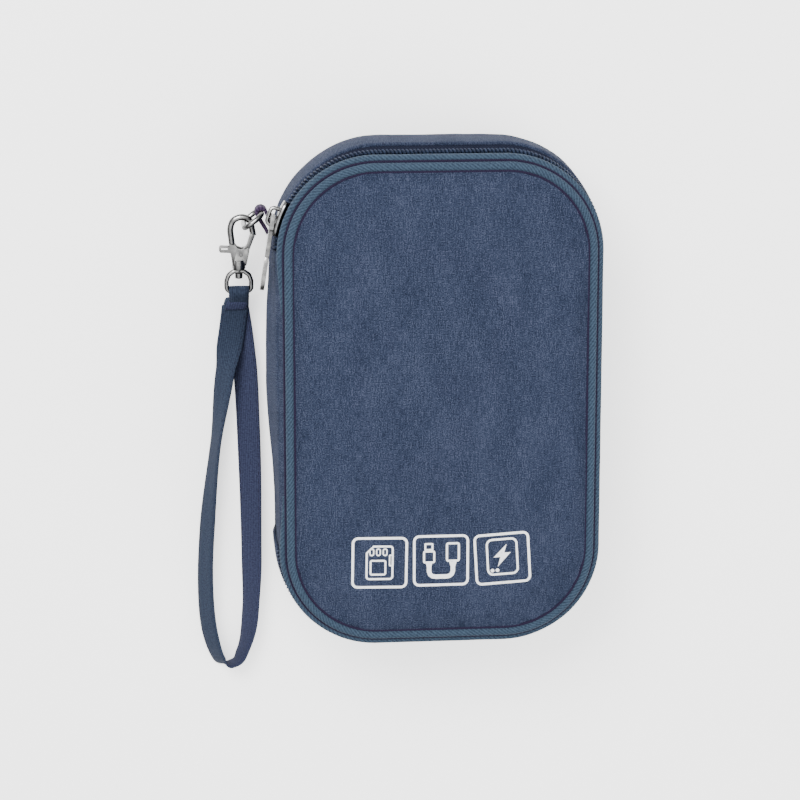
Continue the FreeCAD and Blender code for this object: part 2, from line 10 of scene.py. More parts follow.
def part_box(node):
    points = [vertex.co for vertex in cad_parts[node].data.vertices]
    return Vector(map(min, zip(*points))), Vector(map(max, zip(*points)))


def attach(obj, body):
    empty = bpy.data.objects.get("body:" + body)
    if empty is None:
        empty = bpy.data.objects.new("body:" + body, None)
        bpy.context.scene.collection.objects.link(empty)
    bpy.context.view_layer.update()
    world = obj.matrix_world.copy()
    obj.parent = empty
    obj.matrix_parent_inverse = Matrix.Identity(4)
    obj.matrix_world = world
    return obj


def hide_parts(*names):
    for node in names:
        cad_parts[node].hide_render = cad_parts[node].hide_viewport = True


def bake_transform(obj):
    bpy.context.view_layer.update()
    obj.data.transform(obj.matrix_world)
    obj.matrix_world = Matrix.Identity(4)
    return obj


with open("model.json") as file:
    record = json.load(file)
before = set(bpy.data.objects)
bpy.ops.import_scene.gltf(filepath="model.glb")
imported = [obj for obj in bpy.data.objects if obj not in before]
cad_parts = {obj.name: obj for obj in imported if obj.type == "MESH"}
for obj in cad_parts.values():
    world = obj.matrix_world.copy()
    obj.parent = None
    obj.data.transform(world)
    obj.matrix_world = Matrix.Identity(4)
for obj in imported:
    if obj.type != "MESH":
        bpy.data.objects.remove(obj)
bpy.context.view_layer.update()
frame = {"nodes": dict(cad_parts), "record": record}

# Cable organizer pouch lying on its back: +Z leaves the front panel, +Y is the top end, metres.

MM = 0.001


# ---- camera, floor, light

def make_camera():
    """Looks almost straight down at the front, from a little above the top end and the left side."""
    aim = Vector((-15.3, 1.3, 45.0)) * MM
    back = Vector((-0.0953, 0.2164, 0.9716)).normalized()
    up = (Vector((0, 1, 0)) - back * back.y).normalized()
    right = up.cross(back)
    turn = Matrix((right, up, back)).transposed()
    data = bpy.data.cameras.new("camera")
    data.lens = 120.4
    camera = bpy.data.objects.new("camera", data)
    camera.matrix_world = Matrix.Translation(aim + back * 1.0) @ turn.to_4x4()
    bpy.context.collection.objects.link(camera)
    bpy.context.scene.camera = camera


def make_light(name, place, aim, side, power):
    data = bpy.data.lights.new(name, "AREA")
    data.size = side
    data.energy = power
    light = bpy.data.objects.new(name, data)
    light.location = place
    light.rotation_euler = (Vector(aim) - Vector(place)).to_track_quat("-Z", "Y").to_euler()
    bpy.context.collection.objects.link(light)


def make_studio():
    """A white floor under two large soft lights and a surround that darkens towards the horizon."""
    bpy.ops.mesh.primitive_plane_add(size=4, location=(0, 0, 0))
    floor = bpy.context.object
    floor.name = "floor"
    material = bpy.data.materials.new("floor_paper")
    material.use_nodes = True
    shader = material.node_tree.nodes["Principled BSDF"]
    shader.inputs["Base Color"].default_value = (0.95, 0.95, 0.95, 1)
    shader.inputs["Roughness"].default_value = 0.9
    shader.inputs["Emission Color"].default_value = (1, 1, 1, 1)
    shader.inputs["Emission Strength"].default_value = 1.2
    floor.data.materials.append(material)
    make_light("key_light", (-0.5, 0.75, 1.1), (0, 0, 0.02), 0.7, 27)
    make_light("fill_light", (0.9, -0.5, 0.9), (0, 0, 0.02), 1.0, 14)
    world = bpy.data.worlds.new("surround")
    world.use_nodes = True
    tree = world.node_tree
    heading = add_node(tree, "ShaderNodeTexCoord")
    height = add_node(tree, "ShaderNodeSeparateXYZ")
    tree.links.new(heading.outputs["Generated"], height.inputs["Vector"])
    glow = ramp(tree, height.outputs["Z"], [(0.22, (0.02, 0.02, 0.02)), (0.52, (0.45, 0.45, 0.45)),
                                            (0.75, (1, 1, 1))])
    background = tree.nodes["Background"]
    tree.links.new(glow, background.inputs["Color"])
    background.inputs["Strength"].default_value = 1.85
    bpy.context.scene.world = world


# ---- materials

def add_node(tree, kind, **settings):
    """A shader node; settings are its inputs by name, with _ for a space, or else its own properties."""
    node = tree.nodes.new(kind)
    for key, value in settings.items():
        name = key.replace("_", " ")
        if name in node.inputs:
            node.inputs[name].default_value = value
        else:
            setattr(node, key, value)
    return node


def start_material(name, roughness, metallic=0.0, shine=0.5):
    material = bpy.data.materials.new(name)
    material.use_nodes = True
    tree = material.node_tree
    shader = tree.nodes["Principled BSDF"]
    shader.inputs["Roughness"].default_value = roughness
    shader.inputs["Metallic"].default_value = metallic
    shader.inputs["Specular IOR Level"].default_value = shine
    return material, tree, shader


def coordinates(tree, scale, turn=0.0, kind="UV"):
    """Surface coordinates in metres, stretched by scale and turned about the surface normal."""
    source = add_node(tree, "ShaderNodeTexCoord")
    mapping = add_node(tree, "ShaderNodeMapping")
    mapping.inputs["Rotation"].default_value = (0, 0, turn)
    mapping.inputs["Scale"].default_value = scale
    tree.links.new(source.outputs[kind], mapping.inputs["Vector"])
    return mapping.outputs["Vector"]


def noise_value(tree, scale, turn=0.0, detail=2.0, kind="UV"):
    node = add_node(tree, "ShaderNodeTexNoise", Scale=1.0, Detail=detail)
    tree.links.new(coordinates(tree, scale, turn, kind), node.inputs["Vector"])
    return node.outputs["Fac"]


def ripple(tree, pitch, turn=0.0, kind="UV"):
    """Parallel ridges with a pitch in metres, running across the turned direction."""
    node = add_node(tree, "ShaderNodeTexWave", Scale=1.0, Distortion=0.0)
    stretch = 0.314 / pitch
    tree.links.new(coordinates(tree, (stretch, stretch, stretch), turn, kind), node.inputs["Vector"])
    return node.outputs["Fac"]


def math_node(tree, operation, first, second):
    node = add_node(tree, "ShaderNodeMath", operation=operation)
    for socket, value in zip(node.inputs, (first, second)):
        if isinstance(value, (int, float)):
            socket.default_value = value
        else:
            tree.links.new(value, socket)
    return node.outputs[0]


def ramp(tree, value, stops):
    """A colour ramp: stops are pairs of a place and a colour."""
    node = add_node(tree, "ShaderNodeValToRGB")
    elements = node.color_ramp.elements
    while len(elements) < len(stops):
        elements.new(0.5)
    for element, (place, color) in zip(elements, stops):
        element.position = place
        element.color = (*color, 1)
    tree.links.new(value, node.inputs["Fac"])
    return node.outputs["Color"]


def bump(tree, shader, value, distance, strength=1.0):
    node = add_node(tree, "ShaderNodeBump", Strength=strength, Distance=distance)
    tree.links.new(value, node.inputs["Height"])
    tree.links.new(node.outputs["Normal"], shader.inputs["Normal"])


def blend_of(tree, *shares):
    """A weighted sum of values."""
    total = None
    for weight, value in shares:
        term = math_node(tree, "MULTIPLY", value, weight)
        total = term if total is None else math_node(tree, "ADD", total, term)
    return total


def heather_material(name, dark, middle, light):
    """Oxford cloth of mixed yarns: long slubs down the cloth, shorter ones across, and a square weave."""
    material, tree, shader = start_material(name, 0.9, shine=0.12)
    grain = noise_value(tree, (2600, 2100, 1), detail=3)
    down = noise_value(tree, (2300, 240, 1), detail=3)
    across = noise_value(tree, (300, 2100, 1), detail=3)
    broad = noise_value(tree, (90, 35, 1), detail=2)
    mixed = blend_of(tree, (0.56, grain), (0.24, down), (0.10, across), (0.10, broad))
    color = ramp(tree, mixed, [(0.40, dark), (0.50, middle), (0.60, light)])
    tree.links.new(color, shader.inputs["Base Color"])
    warp = ripple(tree, 0.00055)
    weft = ripple(tree, 0.00055, math.pi / 2)
    weave = math_node(tree, "MULTIPLY", warp, weft)
    bump(tree, shader, blend_of(tree, (0.5, weave), (0.5, down)), 0.00022, 0.7)
    return material


def twill_material(name, dark, light, pitch, turn):
    """Woven tape with diagonal cords."""
    material, tree, shader = start_material(name, 0.85, shine=0.15)
    cords = ripple(tree, pitch, turn)
    flecks = noise_value(tree, (1500, 900, 1), turn)
    mixed = blend_of(tree, (0.27, cords), (0.73, flecks))
    color = ramp(tree, mixed, [(0.28, dark), (0.70, light)])
    tree.links.new(color, shader.inputs["Base Color"])
    bump(tree, shader, mixed, 0.00030, 0.9)
    return material


# How far round the ribbon's section its other face starts, in metres.
OTHER_FACE = 0.0107


def ribbed_material(name, dark, light, pitch, turn, roughness, depth=0.45, inner=None):
    """Ribbon, tape, elastic or lining: straight ribs with small flecks; inner is a ribbon's other face."""
    material, tree, shader = start_material(name, roughness, shine=0.15)
    ribs = ripple(tree, pitch, turn)
    flecks = noise_value(tree, (1800, 1100, 1), turn, detail=3)
    mixed = blend_of(tree, (depth, ribs), (1 - depth, flecks))
    color = ramp(tree, mixed, [(0.3, dark), (0.7, light)])
    if inner:
        place = add_node(tree, "ShaderNodeSeparateXYZ")
        tree.links.new(coordinates(tree, (1, 1, 1)), place.inputs["Vector"])
        faces = add_node(tree, "ShaderNodeMix", data_type="RGBA")
        other = math_node(tree, "GREATER_THAN", place.outputs["Y"], OTHER_FACE)
        tree.links.new(other, faces.inputs["Factor"])
        tree.links.new(color, faces.inputs[6])
        tree.links.new(ramp(tree, mixed, [(0.3, inner[0]), (0.7, inner[1])]), faces.inputs[7])
        color = faces.outputs[2]
    tree.links.new(color, shader.inputs["Base Color"])
    bump(tree, shader, mixed, 0.00015, 0.7)
    return material


def net_material():
    """Knitted net: dark thread round small darker holes."""
    material, tree, shader = start_material("net_knit", 0.8, shine=0.15)
    cells = add_node(tree, "ShaderNodeTexVoronoi", Scale=1.0, Randomness=0.15, feature="DISTANCE_TO_EDGE")
    tree.links.new(coordinates(tree, (700, 700, 700)), cells.inputs["Vector"])
    color = ramp(tree, cells.outputs["Distance"], [(0.12, (0.055, 0.062, 0.085)),
                                                   (0.30, (0.010, 0.011, 0.016))])
    tree.links.new(color, shader.inputs["Base Color"])
    bump(tree, shader, math_node(tree, "SUBTRACT", 1.0, cells.outputs["Distance"]), 0.0003, 0.8)
    return material


def metal_material():
    """Nickel plate over a casting: painted reflection in its base colour, light on faces turned to the
    camera and dark towards grazing edges, mottled with small patches of painted reflection; faint rub marks
    in its roughness and bump.
    """
    material, tree, shader = start_material("nickel_plate", 0.22, metallic=1.0)
    rubs = noise_value(tree, (1400, 300, 1400), kind="Object", detail=4)
    # Painted reflection mottle: noise patches that lighten and darken the painted reflection below.
    painted_reflection_mottle = noise_value(tree, (420, 420, 420), kind="Object", detail=3)
    turned = add_node(tree, "ShaderNodeLayerWeight", Blend=0.45)
    # Painted reflection and shade: the colour follows how far each face turns to the camera, bright where it
    # faces it and near black towards its edges.
    painted_reflection_level = blend_of(tree, (0.75, turned.outputs["Facing"]), (0.25, painted_reflection_mottle))
    color = ramp(tree, painted_reflection_level, [(0.07, (0.50, 0.50, 0.49)), (0.17, (0.24, 0.24, 0.24)),
                               (0.36, (0.03, 0.03, 0.03)), (0.85, (0.26, 0.26, 0.26))])
    tree.links.new(color, shader.inputs["Base Color"])
    rough = add_node(tree, "ShaderNodeMapRange")
    rough.inputs["To Min"].default_value = 0.14
    rough.inputs["To Max"].default_value = 0.34
    tree.links.new(rubs, rough.inputs["Value"])
    tree.links.new(rough.outputs["Result"], shader.inputs["Roughness"])
    bump(tree, shader, rubs, 0.00003, 0.5)
    return material


def coil_material():
    """Nylon coil: smooth, slightly shiny, a little uneven in its dye."""
    material, tree, shader = start_material("nylon_coil", 0.6, shine=0.2)
    dye = noise_value(tree, (500, 500, 500), kind="Object", detail=3)
    color = ramp(tree, dye, [(0.3, (0.006, 0.010, 0.025)), (0.7, (0.020, 0.032, 0.066))])
    tree.links.new(color, shader.inputs["Base Color"])
    bump(tree, shader, dye, 0.00004, 0.4)
    return material


def print_material():
    """White screen print that lets a little of the weave show."""
    material, tree, shader = start_material("white_print", 0.55)
    worn = noise_value(tree, (1500, 1500, 1500), kind="Object", detail=3)
    color = ramp(tree, worn, [(0.30, (0.55, 0.58, 0.64)), (0.42, (0.86, 0.87, 0.88))])
    tree.links.new(color, shader.inputs["Base Color"])
    bump(tree, shader, worn, 0.00005, 0.6)
    return material


DIAGONAL = math.radians(52)
materials = {
    "shell_fabric": heather_material("heather_oxford", (0.0065, 0.0100, 0.023), (0.0180, 0.0255, 0.050),
                                     (0.050, 0.059, 0.098)),
    "piping_twill": twill_material("piping_twill", (0.013, 0.021, 0.038), (0.036, 0.060, 0.092), 0.0011,
                                   DIAGONAL),
    "seam_thread": ribbed_material("seam_thread", (0.006, 0.004, 0.015), (0.015, 0.010, 0.031), 0.0006,
                                   0.6, 0.85),
    "zip_tape": ribbed_material("zip_tape", (0.004, 0.005, 0.014), (0.010, 0.013, 0.028), 0.0007,
                                DIAGONAL, 0.88),
    "zip_coil": coil_material(),
    "lining": ribbed_material("lining_cloth", (0.010, 0.012, 0.022), (0.022, 0.026, 0.042), 0.0005,
                              0.0, 0.7),
    "elastic": ribbed_material("elastic_web", (0.010, 0.011, 0.015), (0.035, 0.038, 0.048), 0.0012,
                               0.0, 0.75),
    "mesh": net_material(),
    "print_white": print_material(),
    "zip_metal": metal_material(),
    "strap_fabric": ribbed_material("strap_ribbon", (0.008, 0.012, 0.026), (0.026, 0.037, 0.064), 0.0008,
                                    math.pi / 2, 0.85, 0.20,
                                    ((0.012, 0.013, 0.033), (0.034, 0.042, 0.084))),
    "tab_fabric": ribbed_material("tab_ribbon", (0.016, 0.009, 0.028), (0.050, 0.030, 0.066), 0.0007,
                                  0.0, 0.85),
}


# ---- mesh building

def grid_mesh(name, rows, close_rows=False, close_columns=False, along=None, across=None):
    """A mesh over rows of points. UV is in metres: along down the rows, across over the columns."""
    mesh = bpy.data.meshes.new(name)
    wide = len(rows[0])
    verts = [tuple(p) for row in rows for p in row]
    faces = []
    marks = []
    if along is None:
        along = [0.0]
        for a, b in zip(rows, rows[1:] + rows[:1]):
            along.append(along[-1] + (Vector(b[0]) - Vector(a[0])).length)
    if across is None:
        across = [0.0]
        for a, b in zip(rows[0], rows[0][1:] + rows[0][:1]):
            across.append(across[-1] + (Vector(b) - Vector(a)).length)
    for i in range(len(rows) if close_rows else len(rows) - 1):
        for j in range(wide if close_columns else wide - 1):
            i2, j2 = (i + 1) % len(rows), (j + 1) % wide
            faces.append((i * wide + j, i2 * wide + j, i2 * wide + j2, i * wide + j2))
            marks += [(along[i], across[j]), (along[i + 1], across[j]),
                      (along[i + 1], across[j + 1]), (along[i], across[j + 1])]
    if close_columns and not close_rows:
        for row in (0, len(rows) - 1):
            ring = [row * wide + j for j in range(wide)]
            faces.append(tuple(ring if row == 0 else reversed(ring)))
            marks += [(along[row], across[j]) for j in (range(wide) if row == 0 else reversed(range(wide)))]
    mesh.from_pydata(verts, [], faces)
    layer = mesh.uv_layers.new(name="UVMap")
    for loop, mark in zip(layer.data, marks):
        loop.uv = mark
    shape = bmesh.new()
    shape.from_mesh(mesh)
    bmesh.ops.recalc_face_normals(shape, faces=shape.faces)
    shape.to_mesh(mesh)
    shape.free()
    mesh.shade_smooth()
    return link(name, mesh)


def link(name, mesh):
    obj = bpy.data.objects.new(name, mesh)
    bpy.context.collection.objects.link(obj)
    return obj


def link_shape(name, shape):
    """Turns a finished bmesh into an object."""
    mesh = bpy.data.meshes.new(name)
    shape.to_mesh(mesh)
    shape.free()
    return link(name, mesh)


def finish_piece(obj, body, slot, *replaced, material=None):
    """Gives a piece its material, the slot's unless another is named, puts it in its body and hides the CAD
    nodes it stands for.
    """
    obj.data.materials.clear()
    obj.data.materials.append(materials[material or slot])
    if body:
        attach(obj, body)
    if replaced:
        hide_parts(*replaced)
    return obj


def bake_modifiers(obj):
    """Applies every modifier to the mesh."""
    graph = bpy.context.evaluated_depsgraph_get()
    mesh = bpy.data.meshes.new_from_object(obj.evaluated_get(graph))
    obj.modifiers.clear()
    obj.data = mesh
    return obj


def thicken(sheet, thickness):
    """Gives a sheet its thickness, half on each side."""
    solid = sheet.modifiers.new("thick", "SOLIDIFY")
    solid.thickness = thickness
    solid.offset = 0
    bake_modifiers(sheet)


def flat_uv(mesh):
    """UV in metres, straight down the Z axis; cloth yarns then run along the case."""
    layer = mesh.uv_layers.get("UVMap") or mesh.uv_layers.new(name="UVMap")
    for loop in mesh.loops:
        point = mesh.vertices[loop.vertex_index].co
        layer.data[loop.index].uv = (point.x, point.y)


def full_turn(count):
    """Evenly spaced angles round one full turn."""
    return [2 * math.pi * i / count for i in range(count)]


def smooth_step(value):
    value = min(max(value, 0.0), 1.0)
    return value * value * (3 - 2 * value)


def wave(point, size, seed):
    """Smooth unevenness between -1 and 1 that repeats over about the given length."""
    return noise.noise(Vector(point) / size + Vector((seed, 2 * seed, 3 * seed)))


# The case's outline is a rounded rectangle; the lid's edge lies a little inside it.
LID_INSET = 1.65 * MM
HALF_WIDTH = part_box("front_piping")[1].x + LID_INSET
HALF_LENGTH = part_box("front_piping")[1].y + LID_INSET
CORNER = 36 * MM
SIDE = HALF_LENGTH - CORNER
END = HALF_WIDTH - CORNER
QUARTER = CORNER * math.pi / 2
ZIP_LENGTH = 4 * QUARTER + 4 * END + 2 * SIDE
RIM_LENGTH = ZIP_LENGTH + 2 * SIDE


def rim(distance, grow=0.0, z=0.0):
    """The outline's point at a distance clockwise from the spine's top end, moved outward by grow."""
    corners = [(-END, SIDE, 180), (END, SIDE, 90), (END, -SIDE, 0), (-END, -SIDE, -90)]
    straights = [2 * END, 2 * SIDE, 2 * END, 2 * SIDE]
    distance = distance % RIM_LENGTH
    for (cx, cy, start), run in zip(corners, straights):
        if distance <= QUARTER:
            angle = math.radians(start) - distance / CORNER
            out = Vector((math.cos(angle), math.sin(angle), 0))
            return Vector((cx, cy, z)) + out * (CORNER + grow)
        distance -= QUARTER
        if distance <= run:
            angle = math.radians(start - 90)
            out = Vector((math.cos(angle), math.sin(angle), 0))
            ahead = Vector((out.y, -out.x, 0))
            return Vector((cx, cy, z)) + out * (CORNER + grow) + ahead * distance
        distance -= run
    return rim(0.0, grow, z)


def spread(start, end, step):
    """Evenly spaced values from start to end, about a step apart."""
    count = max(2, round((end - start) / step))
    return [start + (end - start) * i / count for i in range(count + 1)]


def rim_sweep(name, section, start=0.0, end=ZIP_LENGTH, step=3 * MM, closed=False, close_section=True):
    """Sweeps a section round the outline. section(distance) gives (grow, z) pairs in metres."""
    places = spread(start, end, step)
    if closed:
        places = places[:-1]
    rows = [[rim(s, grow, z) for grow, z in section(s)] for s in places]
    gaps = section(start)
    around = [0.0]
    for (g0, z0), (g1, z1) in zip(gaps, gaps[1:] + gaps[:1]):
        around.append(around[-1] + math.hypot(g1 - g0, z1 - z0))
    along = places + [RIM_LENGTH if closed else end]
    return grid_mesh(name, rows, closed, close_section, along, around)


def round_section(grow, z, radius, count, flat=1.0):
    """A round or, with flat under 1, an oval section."""
    return [(grow + radius * math.cos(a), z + flat * radius * math.sin(a)) for a in full_turn(count)]


# ---- wrist strap

STRAP_WIDTH = 10 * MM
STRAP_SHEET = 0.9 * MM
# The strap's centreline, from the sewn head round the loop and back to it, in millimetres.
STRAP_ROUTE = [
    (-75.2, 31.2, 8.3),
    (-76.1, 22.0, 5.2),
    (-78.9, 7.0, 4.6),
    (-82.1, -15.0, 4.9),
    (-85.1, -37.5, 4.4),
    (-87.2, -58.5, 4.4),
    (-88.2, -77.0, 4.3),
    (-87.6, -95.0, 4.4),
    (-85.0, -107.0, 4.8),
    (-81.8, -113.0, 5.2),
    (-76.2, -112.8, 5.2),
    (-72.8, -105.5, 5.0),
    (-70.6, -95.0, 4.8),
    (-69.8, -77.5, 4.2),
    (-69.8, -59.5, 3.6),
    (-69.9, -38.5, 3.4),
    (-70.4, -16.0, 2.9),
    (-71.2, 6.5, 2.8),
    (-73.4, 22.0, 3.9),
    (-74.9, 31.2, 7.3),
]


def spline_points(name, route):
    """The points of the smooth line that a route's points control."""
    curve = bpy.data.curves.new(name, "CURVE")
    curve.dimensions = "3D"
    spline = curve.splines.new("NURBS")
    spline.points.add(len(route) - 1)
    for point, place in zip(spline.points, route):
        point.co = (*(Vector(place) * MM), 1)
    spline.order_u = 3
    spline.use_endpoint_u = True
    spline.resolution_u = 12
    obj = bpy.data.objects.new(name, curve)
    mesh = bpy.data.meshes.new_from_object(obj)
    points = [v.co.copy() for v in mesh.vertices]
    bpy.data.objects.remove(obj)
    return points


def strap_lean(share):
    """How far the ribbon stands on edge, in radians, at a share of its length from the left leg's start."""
    stops = [(0.0, 0), (0.04, -10), (0.09, -48), (0.16, -72), (0.25, -59), (0.38, -54), (0.45, -60),
             (0.51, -90), (0.56, -108), (0.65, -126), (0.72, -138), (0.86, -150), (0.93, -156), (1.0, -178)]
    for (s0, a0), (s1, a1) in zip(stops, stops[1:]):
        if share <= s1:
            return math.radians(a0 + (a1 - a0) * smooth_step((share - s0) / (s1 - s0)))
    return math.radians(stops[-1][1])


def ribbon_rows(points, width, sheet, lean):
    """Rows of a flat ribbon's section along a line; lean(share) tips it on edge."""
    half, thick = width / 2, sheet / 2
    section = [(-half, -0.4), (-half, 0.4), (-half * 0.94, 1), (-half * 0.5, 1), (0, 1), (half * 0.5, 1),
               (half * 0.94, 1), (half, 0.4), (half, -0.4), (half * 0.94, -1), (half * 0.5, -1), (0, -1),
               (-half * 0.5, -1), (-half * 0.94, -1)]
    rows = []
    count = len(points)
    for i, point in enumerate(points):
        ahead = (points[min(i + 1, count - 1)] - points[max(i - 1, 0)]).normalized()
        side = ahead.cross(Vector((0, 0, 1))).normalized()
        rise = side.cross(ahead)
        angle = lean(i / (count - 1))
        wide = side * math.cos(angle) + rise * math.sin(angle)
        face = rise * math.cos(angle) - side * math.sin(angle)
        row = [point + wide * a + face * (b * thick) for a, b in section]
        sink = min(p.z for p in row) - 0.15 * MM
        lift = Vector((0, 0, -sink if sink < 0 else 0))
        rows.append([p + lift for p in row])
    return rows


def thread_mesh(name, dashes, thick):
    """Short rounded threads; each dash is its two ends and the direction that it stands out in."""
    shape = bmesh.new()
    for first, last, out in dashes:
        across = (last - first).normalized().cross(out)
        rings = []
        for share, size in ((0.0, 0.35), (0.5, 1.0), (1.0, 0.35)):
            point = first.lerp(last, share) + out * (0.5 * thick * size)
            rings.append([shape.verts.new(point + (out * math.cos(a) + across * math.sin(a)) * thick * size)
                          for a in full_turn(6)])
        for a, b in zip(rings, rings[1:]):
            for i in range(6):
                shape.faces.new((a[i], a[(i + 1) % 6], b[(i + 1) % 6], b[i]))
        shape.faces.new(list(reversed(rings[0])))
        shape.faces.new(rings[-1])
    bmesh.ops.recalc_face_normals(shape, faces=shape.faces)
    threads = link_shape(name, shape)
    threads.data.shade_smooth()
    return threads


def make_strap():
    """The wrist strap's loop, a flat ribbon that turns over on its way round, with its edge stitching."""
    points = spline_points("strap_line", STRAP_ROUTE)
    rows = ribbon_rows(points, STRAP_WIDTH, STRAP_SHEET, strap_lean)
    loop = grid_mesh("strap_ribbon", rows, close_columns=True)
    finish_piece(loop, "strap", "strap_fabric", "strap_loop")
    length = sum((b - a).length for a, b in zip(points, points[1:]))
    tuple(points[0])

    dashes = []
    for edge, middle in ((2, 3), (6, 5), (9, 10), (13, 12)):
        sign = 1 if edge < 8 else -1
        for row, following in zip(rows[2:-3:2], rows[3:-2:2]):
            wide = (row[7] - row[0]).normalized()
            out = wide.cross(following[0] - row[0]).normalized() * -sign
            first = row[edge].lerp(row[middle], 0.25)
            last = following[edge].lerp(following[middle], 0.25)
            dashes.append((first, last, out))
    stitches = thread_mesh("strap_stitches", dashes, 0.13 * MM)
    finish_piece(stitches, "strap", "strap_fabric", material="seam_thread")


# ---- soft shells

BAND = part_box("back_gusset")
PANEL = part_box("front_panel")
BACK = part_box("back_panel")
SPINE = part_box("spine")
PIPING_RADIUS = 1.75 * MM
FRONT_PIPING_Z = 47.6 * MM
BACK_PIPING_Z = 2.1 * MM
FOLD_TOP = 46.8 * MM


def top_share(distance):
    """1 along the top end, where the back half stands out beyond the lid, and 0 on both sides."""
    return smooth_step((distance - 0.42 * QUARTER) / (0.68 * QUARTER)) * smooth_step(
        (1.85 * QUARTER + 2 * END - distance) / (0.85 * QUARTER))


def bulged_wall(low, high, belly, thickness, crumple, seed, rows=14):
    """The section of a soft side wall that bulges between its two seams, creased a little."""

    def section(distance):
        outer = []
        for i in range(rows + 1):
            t = i / rows
            z = low + (high - low) * t
            fold = wave((distance, z * 1.6, 0), 24 * MM, seed) * crumple
            crease = wave((distance, z * 0.5, 0), 7 * MM, seed + 3) * crumple * 0.35
            lean = 0.3 + 1.1 * t + 2.7 * top_share(distance) * smooth_step(t / 0.3) * (1 - 0.12 * t)
            grow = lean * MM + belly * math.sin(math.pi * t) ** 0.75
            outer.append((grow + (fold + crease) * math.sin(math.pi * t), z))
        inner = [(grow - thickness, z) for grow, z in reversed(outer)]
        return outer + inner

    return section


def make_gusset():
    """The wide side band of the case, from the spine round to the spine."""
    section = bulged_wall(3.4 * MM, BAND[1].z + 0.6 * MM, 1.3 * MM, 1.1 * MM, 0.6 * MM, 5)
    gusset = rim_sweep("side_band", section, step=2.5 * MM)
    finish_piece(gusset, "case", "shell_fabric", "back_gusset")


def spine_swell(y):
    """How far the spine's cloth stands out, most at the upper middle and little at the bottom."""
    t = (y + SIDE) / (2 * SIDE)
    return smooth_step(t / 0.65) * (1 - 0.45 * smooth_step((t - 0.65) / 0.35))


def make_spine():
    """The cloth spine on the left, its bound ends and the soft fold that the lid turns on."""
    low, high = 3.2 * MM, SPINE[1].z - 0.5 * MM
    rows = []
    ys = spread(-SIDE - 0.6 * MM, SIDE + 0.6 * MM, 2.5 * MM)
    thick = 1.1 * MM
    for y in ys:
        outer = []
        for i in range(21):
            t = i / 20
            z = low + (high - low) * t
            bow = (0.3 + 3.3 * spine_swell(y)) * MM * math.sin(math.pi * t ** 0.9) ** 0.7
            ridge = 0.55 * MM * math.exp(-((t - 0.62) / 0.10) ** 2) * spine_swell(y)
            fold = wave((y, z * 2.0, 0.3), 22 * MM, 9) * 0.7 * MM * math.sin(math.pi * t)
            outer.append(Vector((-HALF_WIDTH - 0.5 * MM - bow - ridge - fold, y, z)))
        inner = [p + Vector((thick, 0, 0)) for p in reversed(outer)]
        rows.append(outer + inner)
    spine = grid_mesh("spine_cloth", rows, close_columns=True)
    finish_piece(spine, "case", "shell_fabric", "spine")

    hinge_rows = []
    fold_base = high - 0.6 * MM
    for y in ys[1:-1]:
        outer = []
        for i in range(9):
            t = i / 8
            x = -HALF_WIDTH - 0.75 * MM + 2.8 * MM * t
            z = fold_base + (FOLD_TOP - fold_base) * t
            outer.append(Vector((x, y, z + 0.5 * MM * math.sin(math.pi * t))))
        inner = [p + Vector((0.7 * MM, 0, -0.3 * MM)) for p in reversed(outer)]
        hinge_rows.append(outer + inner)
    fold = grid_mesh("spine_fold", hinge_rows, close_columns=True)
    finish_piece(fold, None, "shell_fabric")
    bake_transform(fold)


def edge_distance(point, inset):
    """How far a point lies inside the outline moved inward by inset, near the outline."""
    along = max(abs(point.x) - END, 0.0)
    up = max(abs(point.y) - SIDE, 0.0)
    return CORNER - inset - math.hypot(along, up)


PAD_CAP = 2.2 * MM


def pad_shape(name, low, high, inset, flat_below):
    """A padded panel in the case's outline, puffed by a cloth simulation and held at its edge seam."""
    places = spread(0, RIM_LENGTH, 3 * MM)[:-1]
    shape = bmesh.new()
    swell = 0.5 * MM
    floor_z, roof_z = low + swell, high - swell
    levels = []
    for z, pull in ((floor_z, 1.4 * MM), (floor_z + 0.5 * MM, 0.2 * MM), (roof_z - 0.5 * MM, 0.2 * MM),
                    (roof_z, 1.4 * MM)):
        levels.append([shape.verts.new(rim(s, -inset - pull, z)) for s in places])
    count = len(places)
    for a, b in zip(levels, levels[1:]):
        for i in range(count):
            shape.faces.new((a[i], a[(i + 1) % count], b[(i + 1) % count], b[i]))
    shape.faces.new(list(reversed(levels[0])))
    shape.faces.new(levels[-1])
    pad = link_shape(name, shape)
    remesh = pad.modifiers.new("remesh", "REMESH")
    remesh.mode = "VOXEL"
    remesh.voxel_size = 2.3 * MM
    bake_modifiers(pad)
    start = [v.co.copy() for v in pad.data.vertices]
    simulate_pad(pad)
    middle_z = (low + high) / 2
    for vertex, rest in zip(pad.data.vertices, start):
        moved = vertex.co - rest
        if moved.length > PAD_CAP:
            moved *= PAD_CAP / moved.length
        reach = edge_distance(rest, inset)
        seam = smooth_step(reach / (4 * MM))
        point = rest + moved * seam
        puff = 0.9 * MM * smooth_step(reach / (20 * MM)) if not flat_below or rest.z > middle_z else 0
        sway = wave((rest.x, rest.y, 0), 42 * MM, 12) * 0.35 * MM
        sway += wave((rest.x, rest.y, 0), 15 * MM, 4) * 0.12 * MM
        point.z += (puff + sway * seam) * (1 if rest.z > middle_z else -0.4)
        if flat_below:
            point.z = max(point.z, low)
        vertex.co = point
    smooth = pad.modifiers.new("smooth", "SMOOTH")
    smooth.iterations = 3
    pad.modifiers.new("finer", "SUBSURF").levels = 1
    bake_modifiers(pad)
    flat_uv(pad.data)
    pad.data.shade_smooth()
    return pad


